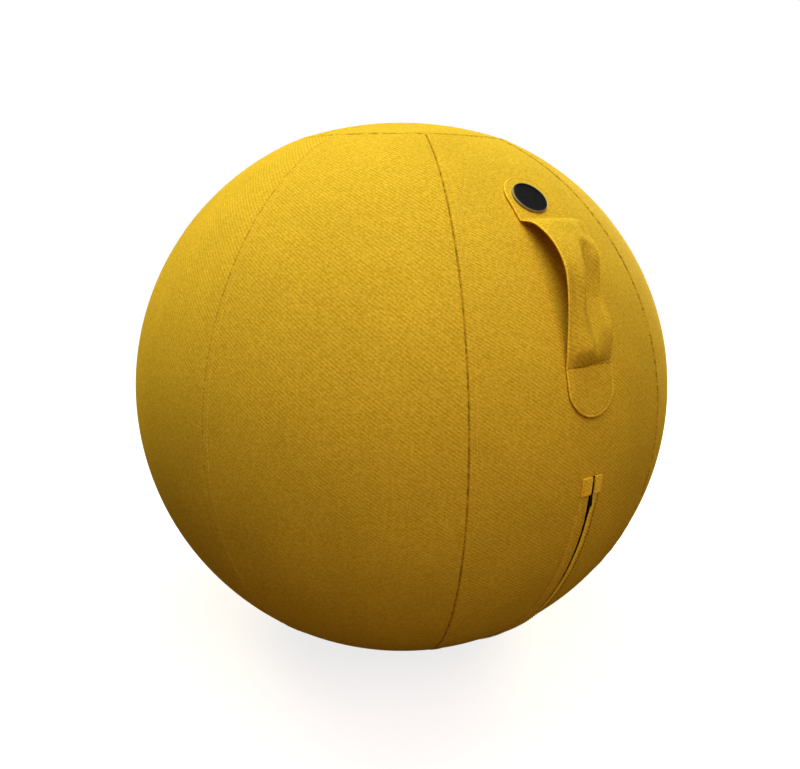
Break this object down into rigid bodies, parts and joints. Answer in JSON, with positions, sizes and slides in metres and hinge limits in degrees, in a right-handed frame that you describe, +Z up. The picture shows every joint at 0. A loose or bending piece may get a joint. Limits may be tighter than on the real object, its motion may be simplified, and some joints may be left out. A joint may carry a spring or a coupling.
{
  "type": "sitting ball",
  "caption": "Inflated sitting ball in a sewn fabric cover of upright panels and round caps, with a carrying strap, a plain badge and a zip slit for the bladder.",
  "frame": {"origin": "middle of the flat patch on the underside that the ball rests on", "axes": "+Z up; the panel with the strap and the zip faces -Y; +X to the right as one faces it"},
  "size_m": [0.6498, 0.6526, 0.6385],
  "materials": {
    "cover_fabric": "matt woven upholstery fabric, mustard yellow",
    "lining_fabric": "matt woven lining, dark mustard",
    "bladder_rubber": "smooth satin PVC",
    "valve_rubber": "moulded satin",
    "plug_plastic": "moulded satin",
    "tape_fabric": "woven tape",
    "teeth_plastic": "moulded",
    "slider_metal": "black lacquered casting",
    "badge_plastic": "satin moulded, bevelled rim"
  },
  "bodies": {
    "ball": {"bladder": "bladder_rubber", "valve_seat": "valve_rubber", "gore_1": "cover_fabric", "gore_2": "cover_fabric", "gore_3": "cover_fabric", "gore_4": "cover_fabric", "gore_5": "cover_fabric", "gore_6": "cover_fabric", "gore_7": "cover_fabric", "gore_8": "cover_fabric", "top_cap": "cover_fabric", "bottom_cap": "cover_fabric", "zip_tape_left": "tape_fabric", "zip_tape_right": "tape_fabric", "zip_teeth_left": "teeth_plastic", "zip_teeth_right": "teeth_plastic", "zip_top_stops": "teeth_plastic", "zip_bottom_stop": "teeth_plastic", "slit_lip_left": "cover_fabric", "slit_lip_right": "cover_fabric", "garage_tab_left": "cover_fabric", "garage_tab_right": "cover_fabric", "handle_lining": "lining_fabric", "handle_strap": "cover_fabric", "badge": "badge_plastic"},
    "slider": {"zip_slider": "slider_metal"},
    "pull": {"zip_pull": "slider_metal"},
    "plug": {"valve_plug": "plug_plastic"}
  },
  "joints": [
    {"name": "zip_travel", "type": "hinge", "parent": "ball", "child": "slider", "pos_m": [0, 0, 0.318], "axis": [1, 0, 0], "range_deg": [0, 55.8], "deforming": ["zip_teeth_left", "zip_teeth_right"]},
    {"name": "pull_flip", "type": "hinge", "parent": "slider", "child": "pull", "pos_m": [0.004, -0.32456, 0.29198], "axis": [-1, 0, 0], "range_deg": [-6, 150]},
    {"name": "plug_lift", "type": "slide", "parent": "ball", "child": "plug", "axis": [0.1698, -0.8791, -0.4453], "range_m": [0, 0.0028]}
  ]
}
